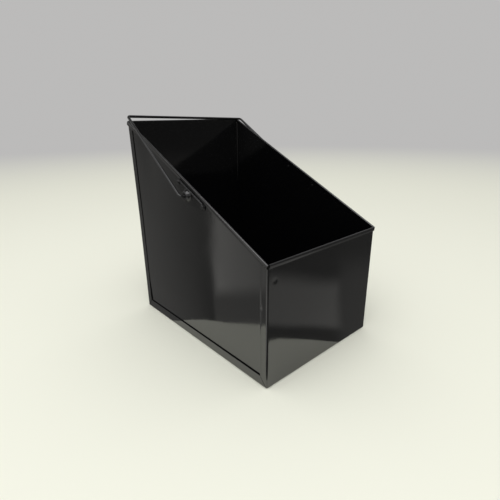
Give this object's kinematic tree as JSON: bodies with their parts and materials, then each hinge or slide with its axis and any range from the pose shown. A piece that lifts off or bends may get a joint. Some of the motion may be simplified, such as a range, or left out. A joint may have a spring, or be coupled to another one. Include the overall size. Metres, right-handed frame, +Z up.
{
  "type": "open drop box",
  "caption": "Free-standing open sheet-metal drop box with a slanted mouth, tall back, low front, hemmed rims, lapped side seams and a folding wire bail on riveted ears.",
  "frame": {"origin": "centre of the floor's underside, midway between the outer faces of the four walls", "axes": "+Z up, -Y out of the low front wall, +Y out of the tall back wall, +X to the right seen from the front"},
  "size_m": [0.2468, 0.3148, 0.3282],
  "materials": {
    "sheet_enamel": "glossy black stoved enamel",
    "ear_enamel": "glossy black stoved enamel",
    "rivet_enamel": "satin black stoved enamel",
    "wire_enamel": "satin black stoved enamel"
  },
  "bodies": {
    "box": {"wrap_sheet": "sheet_enamel", "left_side_panel": "sheet_enamel", "right_side_panel": "sheet_enamel", "left_bail_ear": "ear_enamel", "right_bail_ear": "ear_enamel", "left_front_rivet": "rivet_enamel", "left_rear_rivet": "rivet_enamel", "right_front_rivet": "rivet_enamel", "right_rear_rivet": "rivet_enamel"},
    "bail": {"bail_handle": "wire_enamel"}
  },
  "joints": [
    {"name": "bail_hinge", "type": "hinge", "parent": "box", "child": "bail", "pos_m": [0, 0, 0.22489], "axis": [1, 0, 0], "range_deg": [0, 172]}
  ]
}
